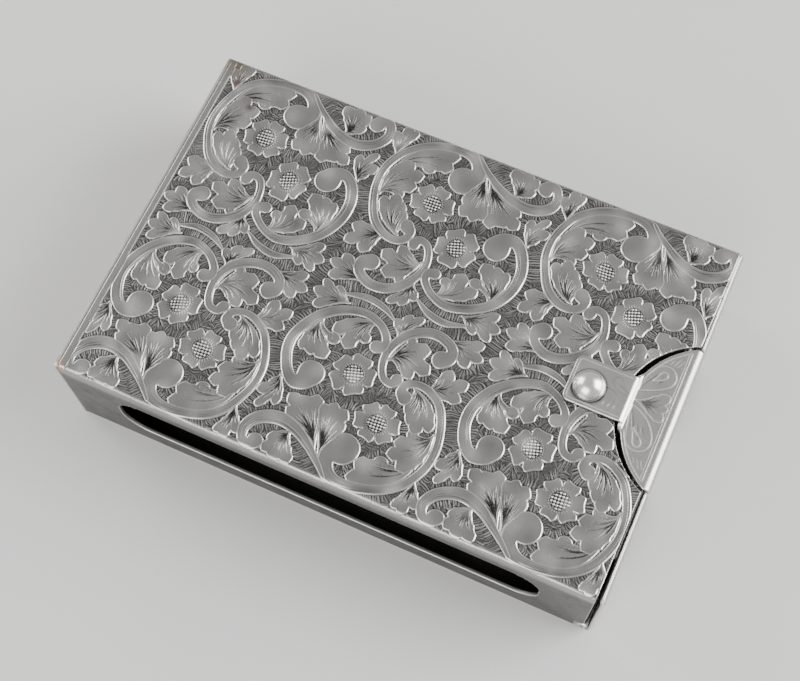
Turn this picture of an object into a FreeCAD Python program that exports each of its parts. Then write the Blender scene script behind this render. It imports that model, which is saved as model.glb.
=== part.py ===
"""A flat card case of engraved sheet metal with a hinged, snap-fastened end door.

Frame: origin at the centre of the underside, X along the case towards the door, Y across it, Z up.
Units: millimetres.
"""

import FreeCAD, Part
import os
import re
import Sketcher

doc = FreeCAD.newDocument("CardCase")


# ---------------------------------------------------------------- driving dimensions

DIMENSIONS = {
    # outside of the closed case
    "case_length": 90.0,
    "case_width": 60.0,
    "case_height": 21.0,
    # sheet metal: everything but the end wall is of one gauge
    "sheet": 0.6,
    "end_sheet": 0.7,
    "bend_radius": 1.0,
    # windows in the long walls
    "window_length": 71.0,
    "window_height": 11.0,
    "window_middle": 10.5,
    "window_radius": 4.5,
    # gap between the top plate and the door, which narrows from the -Y side to the +Y side
    "gap_wide": 0.85,
    "gap_narrow": 0.1,
    # D-shaped flap: an arc whose centre lies beyond the door, and the room left round it
    "flap_radius": 13.6,
    "flap_beyond": 5.3,
    "flap_room": 0.9,
    "door_bend": 1.25,
    # tab, and the S-shaped step that lifts it over the top plate
    "tab_width": 7.7,
    "tab_reach": 17.4,
    "tab_corner": 1.1,
    "tab_step": 0.75,
    "step_start": 7.2,
    "step_bend": 0.35,
    # stud
    "stud_reach": 14.2,
    "stud_offset": 0.4,
    "dome_radius": 2.5,
    "dome_rise": 2.0,
    "neck_radius": 2.2,
    "neck_rise": 0.12,
    "shank_radius": 0.8,
    "shank_room": 0.02,
    "nub_radius": 0.95,
    "nub_drop": 0.38,
    "socket_radius": 1.2,
    # hinge
    "barrel_radius": 1.25,
    "bore_radius": 0.65,
    "pin_radius": 0.6,
    "pin_inset": 0.2,
    "pin_chamfer": 0.15,
    "hinge_room": 0.3,
    "knuckle_gap": 0.15,
    "knuckles": 5.0,
}

sizes = doc.addObject("Spreadsheet::Sheet", "Sizes")
for row, (alias, value) in enumerate(DIMENSIONS.items(), start=1):
    sizes.set(f"A{row}", alias)
    sizes.set(f"B{row}", str(value))
    sizes.setAlias(f"B{row}", alias)
doc.recompute()


def bound(expression):
    """The expression with each driving dimension written as a cell of the sheet."""
    return re.sub(r"[a-z_]+", lambda word: cell(word.group()), expression)


def cell(word):
    return f"Sizes.{word}" if word in DIMENSIONS else word


def number(expression):
    """What the expression comes to with the sheet's present values."""
    return float(sizes.evalExpression(bound(expression)))


# ---------------------------------------------------------------- places shared by several pieces

END = "case_length / 2"
SIDE = "case_width / 2"
WALL_INSIDE = f"({SIDE} - sheet)"
AXIS_X = f"({END} - barrel_radius)"
AXIS_Z = "barrel_radius"
HINGE_BACK = f"({AXIS_X} - barrel_radius - hinge_room)"
HINGE_TOP = "(2 * barrel_radius + hinge_room)"
FLAP_CENTRE = f"({END} + flap_beyond)"
FLAP_HALF = "sqrt(flap_radius ^ 2 - (flap_beyond + door_bend) ^ 2)"
STUD_X = f"({END} - stud_reach)"
TAB_TOP = "(case_height + tab_step)"
KNUCKLE = "(case_width / knuckles)"


# ---------------------------------------------------------------- sketches


def origin_plane(body, role):
    return next(item for item in body.Origin.OriginFeatures if item.Role == role)


def new_body(name):
    body = doc.addObject("PartDesign::Body", name)
    body.Label = name
    return body


def new_sketch(body, name, role, offset="0"):
    """Sketch on one of the body's own origin planes, moved along the plane's normal."""
    sketch = body.newObject("Sketcher::SketchObject", name)
    sketch.AttachmentSupport = (origin_plane(body, role), "")
    sketch.MapMode = "FlatFace"
    sketch.setExpression("AttachmentOffset.Base.z", bound(offset))
    return sketch


def dimension(sketch, kind, places, expression):
    """Adds one dimension to the sketch and binds it to the sheet."""
    index = sketch.addConstraint(Sketcher.Constraint(kind, *places, number(expression)))
    sketch.setExpression(f"Constraints[{index}]", bound(expression))


def arc_between(start, end, radius, turn):
    """Arc of at most half a turn from start to end, turning left for turn 1, right for turn -1."""
    half = (end - start) * 0.5
    reach = max(radius**2 - half.Length**2, 0.0) ** 0.5
    side = FreeCAD.Vector(-half.y, half.x, 0).normalize() * turn
    centre = start + half + side * reach
    circle = Part.Circle(centre, FreeCAD.Vector(0, 0, 1), radius)
    first, last = (start, end) if turn > 0 else (end, start)
    return Part.ArcOfCircle(circle, circle.parameter(first), circle.parameter(last))


def draw_outline(sketch, corners):
    """Closed outline through the corners.

    A corner is (x, y), reached by a straight line, or (x, y, radius, turn), reached by an arc that
    turns left for turn 1 and right for turn -1. Lengths are expressions of the sheet's cells.
    """
    points = [FreeCAD.Vector(number(corner[0]), number(corner[1]), 0) for corner in corners]
    for index, corner in enumerate(corners):
        if len(corner) == 2:
            sketch.addGeometry(Part.LineSegment(points[index - 1], points[index]))
        else:
            radius = number(corner[2])
            sketch.addGeometry(arc_between(points[index - 1], points[index], radius, corner[3]))
    for index, corner in enumerate(corners):
        following = (index + 1) % len(corners)
        ends_here = 1 if turns_right(corner) else 2
        starts_there = 2 if turns_right(corners[following]) else 1
        meet = Sketcher.Constraint("Coincident", index, ends_here, following, starts_there)
        sketch.addConstraint(meet)
        dimension(sketch, "DistanceX", (-1, 1, index, ends_here), corner[0])
        dimension(sketch, "DistanceY", (-1, 1, index, ends_here), corner[1])
        if len(corner) > 2:
            dimension(sketch, "Radius", (index,), corner[2])


def turns_right(corner):
    """A sketch keeps every arc anticlockwise, so one that turns right has its ends swapped."""
    return len(corner) > 2 and corner[3] < 0


def draw_box(sketch, left, bottom, right, top):
    draw_outline(sketch, [(left, bottom), (right, bottom), (right, top), (left, top)])


def draw_circle(sketch, x, y, radius):
    centre = FreeCAD.Vector(number(x), number(y), 0)
    circle = Part.Circle(centre, FreeCAD.Vector(0, 0, 1), number(radius))
    index = sketch.addGeometry(circle)
    dimension(sketch, "DistanceX", (-1, 1, index, 3), x)
    dimension(sketch, "DistanceY", (-1, 1, index, 3), y)
    dimension(sketch, "Radius", (index,), radius)


# ---------------------------------------------------------------- features


def volume(body):
    return 0.0 if body.Shape.isNull() else body.Shape.Volume


def finish_feature(body, feature, before, sign):
    """Recomputes, then stops unless the body's volume rose (sign 1) or fell (sign -1)."""
    doc.recompute()
    if body.Shape.isNull() or (volume(body) - before) * sign < 1e-3:
        raise RuntimeError(f"{feature.Name} left the body's volume as it was")
    return feature


def pad(body, name, sketch, depth, both_ways=False):
    before = volume(body)
    feature = body.newObject("PartDesign::Pad", name)
    feature.Profile = sketch
    feature.Midplane = both_ways
    feature.setExpression("Length", bound(depth))
    return finish_feature(body, feature, before, 1)


def cut_through(body, name, sketch):
    """Pocket through everything on both sides of the sketch."""
    before = volume(body)
    feature = body.newObject("PartDesign::Pocket", name)
    feature.Profile = sketch
    feature.Midplane = True
    feature.Type = "ThroughAll"
    return finish_feature(body, feature, before, -1)


def mirror_across(body, name, feature):
    """The same pad or pocket again on the other side of the case's middle plane."""
    before = volume(body)
    mirrored = body.newObject("PartDesign::Mirrored", name)
    mirrored.Originals = [feature]
    mirrored.MirrorPlane = (origin_plane(body, "XZ_Plane"), [""])
    body.Tip = mirrored
    return finish_feature(body, mirrored, before, 1 if "Pad" in feature.TypeId else -1)


# ---------------------------------------------------------------- pieces


def make_case_shell():
    """Top plate and both long walls, bent from one sheet."""
    body = new_body("case_shell")
    section = new_sketch(body, "shell_section", "YZ_Plane", f"end_sheet - {END}")
    shoulder = "case_height - bend_radius"
    inside = "bend_radius - sheet"
    draw_outline(
        section,
        [
            (f"-{SIDE}", "0"),
            (f"-{SIDE}", shoulder),
            (f"bend_radius - {SIDE}", "case_height", "bend_radius", -1),
            (f"{SIDE} - bend_radius", "case_height"),
            (SIDE, shoulder, "bend_radius", -1),
            (SIDE, "0"),
            (WALL_INSIDE, "0"),
            (WALL_INSIDE, shoulder),
            (f"{SIDE} - bend_radius", "case_height - sheet", inside, 1),
            (f"bend_radius - {SIDE}", "case_height - sheet"),
            (f"-{WALL_INSIDE}", shoulder, inside, 1),
            (f"-{WALL_INSIDE}", "0"),
        ],
    )
    pad(body, "bent_sheet", section, "case_length - end_sheet - sheet - gap_narrow")

    door_edge = new_sketch(body, "door_edge_line", "XY_Plane")
    draw_outline(
        door_edge,
        [
            (f"{END} - sheet - gap_wide", f"-{SIDE}"),
            (END, f"-{SIDE}"),
            (END, SIDE),
            (f"{END} - sheet - gap_narrow", SIDE),
        ],
    )
    cut_through(body, "door_edge", door_edge)

    notch = new_sketch(body, "flap_notch_circle", "XY_Plane")
    draw_circle(notch, f"{FLAP_CENTRE} - flap_room", "0", "flap_radius")
    cut_through(body, "flap_notch", notch)

    socket = new_sketch(body, "snap_socket_circle", "XY_Plane")
    draw_circle(socket, STUD_X, "-stud_offset", "socket_radius")
    cut_through(body, "snap_socket", socket)

    window = new_sketch(body, "window_outline", "XZ_Plane")
    draw_window(window)
    cut_through(body, "windows", window)

    relief = new_sketch(body, "hinge_relief_box", "XZ_Plane")
    draw_box(relief, HINGE_BACK, "0", END, HINGE_TOP)
    cut_through(body, "hinge_relief", relief)
    return body


def draw_window(sketch):
    """Long window with rounded corners, centred on the length of the case."""
    right = "window_length / 2"
    top = "(window_middle + window_height / 2)"
    bottom = "(window_middle - window_height / 2)"
    draw_outline(
        sketch,
        [
            (f"window_radius - {right}", bottom, "window_radius", 1),
            (f"{right} - window_radius", bottom),
            (right, f"{bottom} + window_radius", "window_radius", 1),
            (right, f"{top} - window_radius"),
            (f"{right} - window_radius", top, "window_radius", 1),
            (f"window_radius - {right}", top),
            (f"-{right}", f"{top} - window_radius", "window_radius", 1),
            (f"-{right}", f"{bottom} + window_radius"),
        ],
    )


def make_base_plate():
    """Underside, with the two fixed knuckles rolled up from its door edge."""
    body = new_body("base_plate")
    plate = new_sketch(body, "plate_outline", "XY_Plane")
    draw_box(plate, f"end_sheet - {END}", f"-{WALL_INSIDE}", HINGE_BACK, WALL_INSIDE)
    pad(body, "plate", plate, "sheet")

    middle = f"1.5 * {KNUCKLE} - {SIDE}"
    roll = new_sketch(body, "roll_section", "XZ_Plane", f"-({middle})")
    meets_plate = "sqrt(barrel_radius ^ 2 - (barrel_radius - sheet) ^ 2)"
    draw_outline(
        roll,
        [
            (HINGE_BACK, "0"),
            (AXIS_X, "0"),
            (END, AXIS_Z, "barrel_radius", 1),
            (AXIS_X, "2 * barrel_radius", "barrel_radius", 1),
            (f"{AXIS_X} - {meets_plate}", "sheet", "barrel_radius", 1),
            (HINGE_BACK, "sheet"),
        ],
    )
    knuckle = pad(body, "knuckle", roll, f"{KNUCKLE} - knuckle_gap", both_ways=True)
    mirror_across(body, "other_knuckle", knuckle)
    cut_bore(body)
    return body


def cut_bore(body):
    bore = new_sketch(body, f"{body.Name}_bore_circle", "XZ_Plane")
    draw_circle(bore, AXIS_X, AXIS_Z, "bore_radius")
    cut_through(body, f"{body.Name}_bore", bore)


def make_end_wall():
    """Plate that closes the end away from the door, rounded like the shell's bends."""
    body = new_body("end_wall")
    outline = new_sketch(body, "end_outline", "YZ_Plane", f"-{END}")
    draw_outline(
        outline,
        [
            (f"-{SIDE}", "0"),
            (SIDE, "0"),
            (SIDE, "case_height - bend_radius"),
            (f"{SIDE} - bend_radius", "case_height", "bend_radius", 1),
            (f"bend_radius - {SIDE}", "case_height"),
            (f"-{SIDE}", "case_height - bend_radius", "bend_radius", 1),
        ],
    )
    pad(body, "end_plate", outline, "end_sheet")
    return body


def make_door_leaf():
    """Leaf, bend, flap, step and tab in one sheet, with three knuckles rolled from its lower edge."""
    body = new_body("door_leaf")
    outline = new_sketch(body, "leaf_outline", "YZ_Plane", f"{END} - sheet")
    draw_outline(
        outline,
        [
            (f"-{SIDE}", AXIS_Z),
            (SIDE, AXIS_Z),
            (SIDE, "case_height - bend_radius"),
            (f"{SIDE} - bend_radius", "case_height", "bend_radius", 1),
            (FLAP_HALF, "case_height"),
            (FLAP_HALF, "case_height - door_bend"),
            (f"-{FLAP_HALF}", "case_height - door_bend"),
            (f"-{FLAP_HALF}", "case_height"),
            (f"bend_radius - {SIDE}", "case_height"),
            (f"-{SIDE}", "case_height - bend_radius", "bend_radius", 1),
        ],
    )
    pad(body, "leaf", outline, "sheet")

    barrel = new_sketch(body, "barrel_circle", "XZ_Plane")
    draw_circle(barrel, AXIS_X, AXIS_Z, "barrel_radius")
    pad(body, "barrel", barrel, "case_width", both_ways=True)

    section = new_sketch(body, "flap_section", "XZ_Plane")
    draw_flap_section(section)
    pad(body, "flap_strip", section, f"2 * {FLAP_HALF}", both_ways=True)

    trim = new_sketch(body, "flap_trim_outline", "XY_Plane")
    draw_flap_trim(trim)
    mirror_across(body, "other_flap_trim", cut_through(body, "flap_trim", trim))

    gap = new_sketch(body, "knuckle_gap_box", "YZ_Plane")
    start = f"{KNUCKLE} - knuckle_gap / 2 - {SIDE}"
    stop = f"2 * {KNUCKLE} + knuckle_gap / 2 - {SIDE}"
    draw_box(gap, start, "0", stop, HINGE_TOP)
    mirror_across(body, "other_knuckle_gap", cut_through(body, "first_knuckle_gap", gap))

    rivet_hole = new_sketch(body, "rivet_hole_circle", "XY_Plane")
    draw_circle(rivet_hole, STUD_X, "-stud_offset", "shank_radius + shank_room")
    cut_through(body, "rivet_hole", rivet_hole)
    cut_bore(body)
    return body


def draw_flap_section(sketch):
    """Side view of the sheet from the bend over the flap and up the step to the tab's tip.

    The step is an S of two bends. Each has the same inside radius, so each face of the sheet runs
    along one inside and one outside radius, and both faces share the two centres.
    """
    span = "(2 * step_bend + sheet)"
    run = f"sqrt({span} ^ 2 - ({span} - tab_step) ^ 2)"
    foot = f"({END} - step_start)"
    head = f"({foot} - {run})"
    tip = f"{END} - tab_reach"
    inner = "step_bend"
    outer = "(step_bend + sheet)"

    def crossing(radius):
        """Where the two bends meet, on the face that leaves the foot's centre at this radius."""
        x = f"{foot} - {run} * {radius} / {span}"
        z = f"case_height + {inner} - ({span} - tab_step) * {radius} / {span}"
        return x, z

    draw_outline(
        sketch,
        [
            (END, "case_height - door_bend"),
            (f"{END} - door_bend", "case_height", "door_bend", 1),
            (foot, "case_height"),
            (*crossing(inner), inner, -1),
            (head, TAB_TOP, outer, 1),
            (tip, TAB_TOP),
            (tip, f"{TAB_TOP} - sheet"),
            (head, f"{TAB_TOP} - sheet"),
            (*crossing(outer), inner, -1),
            (foot, "case_height - sheet", outer, 1),
            (f"{END} - door_bend", "case_height - sheet"),
            (f"{END} - sheet", "case_height - door_bend", "door_bend - sheet", -1),
        ],
    )


def draw_flap_trim(sketch):
    """What is cut from the strip on one side to leave the D of the flap and the tab."""
    tab_side = "tab_width / 2"
    meets_tab = f"{FLAP_CENTRE} - sqrt(flap_radius ^ 2 - ({tab_side}) ^ 2)"
    tip = f"{END} - tab_reach"
    clear = f"{tip} - sheet"
    draw_outline(
        sketch,
        [
            (f"{END} - door_bend", FLAP_HALF),
            (meets_tab, tab_side, "flap_radius", 1),
            (f"{tip} + tab_corner", tab_side),
            (tip, f"{tab_side} - tab_corner", "tab_corner", 1),
            (clear, f"{tab_side} - tab_corner"),
            (clear, FLAP_HALF),
        ],
    )


def make_hinge_pin():
    body = new_body("hinge_pin")
    circle = new_sketch(body, "pin_circle", "XZ_Plane")
    draw_circle(circle, AXIS_X, AXIS_Z, "pin_radius")
    wire = pad(body, "wire", circle, "case_width - 2 * pin_inset", both_ways=True)
    ends = body.newObject("PartDesign::Chamfer", "broken_ends")
    edges = enumerate(wire.Shape.Edges, start=1)
    ends.Base = (wire, [f"Edge{i}" for i, edge in edges if isinstance(edge.Curve, Part.Circle)])
    ends.setExpression("Size", bound("pin_chamfer"))
    return body


def make_snap_stud():
    """Domed stud riveted through the tab. Its lower end is peened into the rounded nub."""
    body = new_body("snap_stud")
    section = new_sketch(body, "stud_section", "XZ_Plane")
    nub_ball = "(nub_radius ^ 2 + nub_drop ^ 2) / (2 * nub_drop)"
    dome_ball = "(dome_radius ^ 2 + dome_rise ^ 2) / (2 * dome_rise)"
    draw_outline(
        section,
        [
            ("0", "-sheet - nub_drop"),
            ("nub_radius", "-sheet", nub_ball, 1),
            ("shank_radius", "-sheet"),
            ("shank_radius", "0"),
            ("neck_radius", "0"),
            ("neck_radius", "neck_rise"),
            ("dome_radius", "neck_rise"),
            ("0", "neck_rise + dome_rise", dome_ball, 1),
        ],
    )
    turned = body.newObject("PartDesign::Revolution", "turned_stud")
    turned.Profile = section
    turned.ReferenceAxis = (section, ["V_Axis"])
    turned.Angle = 360.0
    body.setExpression("Placement.Base.x", bound(STUD_X))
    body.setExpression("Placement.Base.y", bound("-stud_offset"))
    body.setExpression("Placement.Base.z", bound(TAB_TOP))
    return body


# ---------------------------------------------------------------- build, check and write


def check(pieces):
    """Stops if any object of the document failed or any piece isn't one valid solid."""
    for item in doc.Objects:
        if {"Invalid", "Error"} & set(item.State):
            raise RuntimeError(f"{item.Label} failed: {item.State}")
    for piece in pieces:
        shape = piece.Shape
        if shape.isNull() or not shape.isValid() or len(shape.Solids) != 1:
            raise RuntimeError(f"{piece.Label} isn't one valid solid")


pieces = [
    make_case_shell(),
    make_base_plate(),
    make_end_wall(),
    make_door_leaf(),
    make_hinge_pin(),
    make_snap_stud(),
]
doc.recompute()
check(pieces)

os.makedirs("parts", exist_ok=True)
for piece in pieces:
    piece.Shape.exportStep(f"parts/{piece.Label}.step")
    box = piece.Shape.BoundBox
    print(f"{piece.Label}: volume {piece.Shape.Volume:.2f}", box)
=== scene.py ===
"""Looks of the engraved card case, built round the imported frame.

The sheet-metal pieces are drawn flat, with their cut-outs and engraving, then bent along a path and
given their thickness. Lengths are in millimetres until a mesh is made. Blender is in metres.
"""

import math

import bpy
import numpy as np
from mathutils import Matrix, Vector
from mathutils.geometry import delaunay_2d_cdt


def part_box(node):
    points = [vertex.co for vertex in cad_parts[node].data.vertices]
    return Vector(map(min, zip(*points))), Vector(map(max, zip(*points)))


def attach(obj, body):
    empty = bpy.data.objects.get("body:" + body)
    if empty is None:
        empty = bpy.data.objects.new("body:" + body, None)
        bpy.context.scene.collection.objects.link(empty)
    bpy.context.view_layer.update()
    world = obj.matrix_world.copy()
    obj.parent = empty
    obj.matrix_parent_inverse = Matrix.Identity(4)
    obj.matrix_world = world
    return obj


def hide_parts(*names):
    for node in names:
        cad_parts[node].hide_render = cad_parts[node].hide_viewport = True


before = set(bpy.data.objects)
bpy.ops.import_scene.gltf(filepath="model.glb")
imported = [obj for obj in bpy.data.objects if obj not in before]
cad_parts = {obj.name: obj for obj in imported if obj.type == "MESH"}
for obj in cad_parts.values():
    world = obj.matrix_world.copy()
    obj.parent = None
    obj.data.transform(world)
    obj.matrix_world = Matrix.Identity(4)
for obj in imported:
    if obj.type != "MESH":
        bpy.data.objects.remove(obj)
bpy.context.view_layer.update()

MM = 0.001
FINE = 0.1


def node_box(node):
    """A node's lowest and highest corner in millimetres."""
    low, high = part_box(node)
    return np.array(low) / MM, np.array(high) / MM


# ================================================================ engraving: drawing on a raster

PER_MM = 20
REACH = 1.8
DISC_STEP = 0.1
CHUNK = 12
LOBE_WIDTH = 1.3


class Patch:
    """Distance to one motif's outline (negative inside), place along it, and its inner cuts."""

    def __init__(self, low, high):
        self.low = np.floor((np.array(low) - REACH) * PER_MM).astype(int)
        high = np.ceil((np.array(high) + REACH) * PER_MM).astype(int)
        width, height = high - self.low + 1
        self.x = (self.low[0] + np.arange(width)) / PER_MM
        self.y = (self.low[1] + np.arange(height)) / PER_MM
        self.away = np.full((height, width), 9.0)
        self.along = np.zeros((height, width))
        self.cut = np.zeros((height, width))

    def lay(self, found):
        """Joins a ribbon to the motif."""
        self.along = np.where(found.away < self.away, found.along, self.along)
        self.away = np.minimum(self.away, found.away)


def smooth_line(points):
    """Catmull-Rom curve through rows of numbers whose first two are x and y, at even steps."""
    points = np.array(points, float)
    ends = np.vstack([2 * points[0] - points[1], points, 2 * points[-1] - points[-2]])
    pieces = []
    for a, b, c, d in zip(ends, ends[1:], ends[2:], ends[3:]):
        t = np.linspace(0, 1, 40, endpoint=False)[:, None]
        pieces.append(
            0.5 * (2 * b + (c - a) * t + (2 * a - 5 * b + 4 * c - d) * t**2 + (3 * b - a - 3 * c + d) * t**3)
        )
    line = np.vstack(pieces + [points[-1:]])
    length = np.concatenate([[0], np.cumsum(np.hypot(*np.diff(line[:, :2], axis=0).T))])
    even = np.linspace(0, length[-1], max(int(length[-1] / DISC_STEP), 4) + 1)
    return even, np.column_stack([np.interp(even, length, column) for column in line.T])


class Ribbon:
    """Each pixel's place on a ribbon: distance to its outline, and where along and across it is."""

    def __init__(self, shape):
        self.away = np.full(shape, 9.0)
        self.share = np.zeros(shape)
        self.side = np.zeros(shape)
        self.along = np.zeros(shape)


def ribbon(patch, line, length, room=REACH):
    """The patch's pixels seen from a chain of discs along a line of (x, y, radius) rows."""
    centres, radii = line[:, :2], line[:, 2]
    tangents = np.gradient(centres, axis=0)
    tangents /= np.linalg.norm(tangents, axis=1)[:, None]
    found = Ribbon(patch.away.shape)
    for start in range(0, len(line), CHUNK):
        part = slice(start, min(start + CHUNK, len(line)))
        reach = radii[part].max() + room
        low = centres[part].min(axis=0) - reach
        high = centres[part].max(axis=0) + reach
        columns = slice(*np.searchsorted(patch.x, (low[0], high[0])))
        rows = slice(*np.searchsorted(patch.y, (low[1], high[1])))
        dx = patch.x[columns][None, :, None] - centres[part, 0]
        dy = patch.y[rows][:, None, None] - centres[part, 1]
        gap = np.hypot(dx, dy) - radii[part]
        best = gap.argmin(axis=2)
        gap = np.take_along_axis(gap, best[..., None], 2)[..., 0]
        dx = patch.x[columns][None, :] - centres[part, 0][best]
        dy = patch.y[rows][:, None] - centres[part, 1][best]
        tx, ty, r = tangents[part, 0][best], tangents[part, 1][best], radii[part][best]
        forward, left = dx * tx + dy * ty, dy * tx - dx * ty
        closer = gap < found.away[rows, columns]
        for field, value in (
            (found.away, gap),
            (found.share, length[part][best] / length[-1]),
            (found.side, left / r),
            (found.along, length[part][best] + r * np.arctan2(forward, np.abs(left) + 1e-6)),
        ):
            field[rows, columns] = np.where(closer, value, field[rows, columns])
    return found


def stroke(offset, half_width):
    """A cut's depth across its width, 1 in the middle."""
    return np.clip(1 - np.abs(offset) / half_width, 0, 1)


def fade(value, start, stop):
    """Smooth step from 0 at start to 1 at stop."""
    t = np.clip((value - start) / (stop - start), 0, 1)
    return t * t * (3 - 2 * t)


def scroll(points, inner):
    """Curling stem through (x, y, radius) points, cut with fine lines along its inner side."""
    length, line = smooth_line(points)
    reach = line[:, 2:3]
    patch = Patch((line[:, :2] - reach).min(axis=0), (line[:, :2] + reach).max(axis=0))
    found = ribbon(patch, line, length)
    patch.lay(found)
    side = found.side * inner
    for offset, width, start, stop in ((0.5, 0.15, 0.08, 0.9), (0.12, 0.12, 0.5, 0.86), (-0.25, 0.12, 0.62, 0.93)):
        ends = fade(found.share, start, start + 0.15) * (1 - fade(found.share, stop - 0.15, stop))
        patch.cut = np.maximum(patch.cut, stroke(side - offset, width) * ends)
    return patch


RUFFLE, RUFFLE_PITCH = 0.2, 1.5
# of the cuts in a leaf's lobe: how far along it they reach, how far aside they end, and where they start
LEAF_CUTS = ((0.84, 0.08, 0.16), (0.7, 0.6, 0.36), (0.66, -0.55, 0.42))


def lobe_line(base, ahead, tip, radius):
    """Curved centre line from the base to a tip, leaving in the direction ahead. radius(t) is its width."""
    t = np.linspace(0, 1, 24)[:, None]
    knee = base + ahead * 0.5 * np.linalg.norm(tip - base)
    centre = (1 - t) ** 2 * base + 2 * t * (1 - t) * knee + t**2 * tip
    return smooth_line(np.hstack([centre, radius(t)]))


def leaf(base, heading, tips, balls=()):
    """Acanthus leaf: ruffled lobes from the base to each (x, y, radius) tip, and lobes that end in balls."""
    base = np.array(base, float)
    turn = math.radians(heading)
    ahead = np.array([math.cos(turn), math.sin(turn)])
    ends = np.array(tips + list(balls), float)
    reach = ends[:, 2].max() * LOBE_WIDTH + RUFFLE
    corners = np.vstack([base, ends[:, :2]])
    patch = Patch(corners.min(axis=0) - reach, corners.max(axis=0) + reach)
    nearest = np.full(patch.away.shape, 9.0)
    second = nearest.copy()
    ripe = np.zeros_like(nearest)
    veins = np.zeros_like(nearest)
    for order, (x, y, size) in enumerate(ends):
        tip = np.array([x, y])
        ball = order >= len(tips)
        if ball:
            length, line = lobe_line(base, ahead, tip, lambda t: 0.1 + 0.3 * t)
            line[length > length[-1] - 0.25 * size, 2] = size
            curl = np.hypot(patch.x[None, :] - x, patch.y[:, None] - y) - 0.5 * size
            above = fade((patch.x[None, :] - x) * ahead[0] + (patch.y[:, None] - y) * ahead[1], -0.2, 0.2)
            veins = np.maximum(veins, 0.6 * stroke(curl, 0.1) * above)
        else:
            full = size * LOBE_WIDTH
            length, line = lobe_line(base, ahead, tip, lambda t: 0.06 + (full - 0.06) * np.sin(2.0 * t**1.3))
        found = ribbon(patch, line, length)
        if not ball:
            steps = (length[-1] + line[-1, 2] * math.pi / 2 - found.along) / RUFFLE_PITCH
            ruffle = (2 * np.mod(steps, 1) - 1) ** 2
            found.away -= RUFFLE * size * (ruffle - 0.45) * fade(found.share, 0.3, 0.6)
        second = np.minimum(second, np.maximum(nearest, found.away))
        ripe = np.where(found.away < nearest, found.share, ripe)
        nearest = np.minimum(nearest, found.away)
        patch.lay(found)
        normal = np.array([base[1] - y, x - base[0]]) / np.linalg.norm(tip - base)
        for reach_share, aside, start in LEAF_CUTS:
            end = base + (tip - base) * reach_share + normal * aside * size
            length, line = lobe_line(base, ahead, end, lambda t: 0 * t + 0.01)
            cut = ribbon(patch, line, length, 0.4)
            taper = fade(cut.share, start, start + 0.3) * (1 - cut.share)
            veins = np.maximum(veins, 1.9 * stroke(cut.away, 0.04 + 0.26 * taper) * (taper > 0))
    crease = stroke(second - nearest, 0.14) * fade(ripe, 0.4, 0.55) * (1 - fade(ripe, 0.7, 0.95))
    patch.cut = np.maximum(veins, crease)
    return patch


DOT_PITCH = 0.5


def flower(centre, radius, petals, turn):
    """Open flower with dented petals round an eye of raised dots and a fringe of short cuts."""
    centre = np.array(centre, float)
    patch = Patch(centre - radius * 1.1, centre + radius * 1.1)
    dx = patch.x[None, :] - centre[0]
    dy = patch.y[:, None] - centre[1]
    rho = np.hypot(dx, dy)
    theta = np.arctan2(dy, dx) + turn
    petal = np.mod(theta * petals / (2 * math.pi), 1.0) - 0.5
    wobble = 1 + 0.05 * np.sin(2 * theta + 3 * turn)
    corners = np.interp(np.abs(petal) * 2, (0, 0.2, 0.5, 0.62, 0.85, 1), (0.92, 0.93, 1.0, 0.99, 0.86, 0.62))
    rim = radius * wobble * corners
    patch.away = (rho - rim) * 0.85
    patch.along = theta * radius
    eye = 0.42 * radius
    parting = stroke((0.5 - np.abs(petal)) * rho, 0.11) * fade(rho, 1.5 * eye, 1.9 * eye)
    fringe = stroke(np.mod(theta * 4.6, 1) - 0.5, 0.3) * fade(rho, eye, 1.1 * eye)
    fringe *= 1 - fade(rho, 1.25 * eye, 1.5 * eye)
    lean = turn * 0.3
    across, up = dx * math.cos(lean) + dy * math.sin(lean), dy * math.cos(lean) - dx * math.sin(lean)
    dots = (np.sin(math.pi * across / DOT_PITCH) * np.sin(math.pi * up / DOT_PITCH)) ** 2
    inside_eye = 1 - fade(rho, 0.9 * eye, eye)
    ring = 1.4 * stroke(rho - eye, 0.2)
    patch.cut = np.maximum.reduce([parting, 0.9 * fringe, 2 * inside_eye, ring]) - 4.5 * dots * inside_eye
    return patch


class Engraving:
    """Motifs laid on a plate. Rows of its arrays run along y and columns along x."""

    def __init__(self, low, high):
        self.low = np.array(low, float)
        width, height = np.array(high) - low
        shape = (round(height * PER_MM) + 1, round(width * PER_MM) + 1)
        self.away = np.full(shape, 9.0)
        self.along = np.zeros(shape)
        self.edge = np.full(shape, 9.0)
        self.cut = np.zeros(shape)
        self.inside = np.zeros(shape, bool)

    def place(self, patch, at, half_turned=False):
        """Lays a motif over what is there, with its own origin at a point of the plate."""
        height, width = patch.away.shape
        step = slice(None, None, -1 if half_turned else 1)
        corner = -(patch.low + (width - 1, height - 1)) if half_turned else patch.low
        corner = corner + np.round((np.array(at) - self.low) * PER_MM).astype(int)
        rows, patch_rows = overlap(corner[1], height, self.away.shape[0])
        columns, patch_columns = overlap(corner[0], width, self.away.shape[1])
        away, along, cut = (
            field[step, step][patch_rows, patch_columns] for field in (patch.away, patch.along, patch.cut)
        )
        inside = away < 0
        closer = away < self.away[rows, columns]
        self.along[rows, columns] = np.where(closer, along, self.along[rows, columns])
        self.away[rows, columns] = np.minimum(self.away[rows, columns], away)
        outline = np.minimum(self.edge[rows, columns], np.abs(away))
        self.edge[rows, columns] = np.where(inside, -away, outline)
        self.cut[rows, columns] = np.where(inside, cut, self.cut[rows, columns])
        self.inside[rows, columns] |= inside


def overlap(start, length, limit):
    """The slice of the plate that a patch covers on one axis, and the same stretch of the patch."""
    first, last = max(start, 0), min(start + length, limit)
    return slice(first, max(last, first)), slice(first - start, max(last, first) - start)


# ================================================================ engraving: the repeated tile

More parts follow.
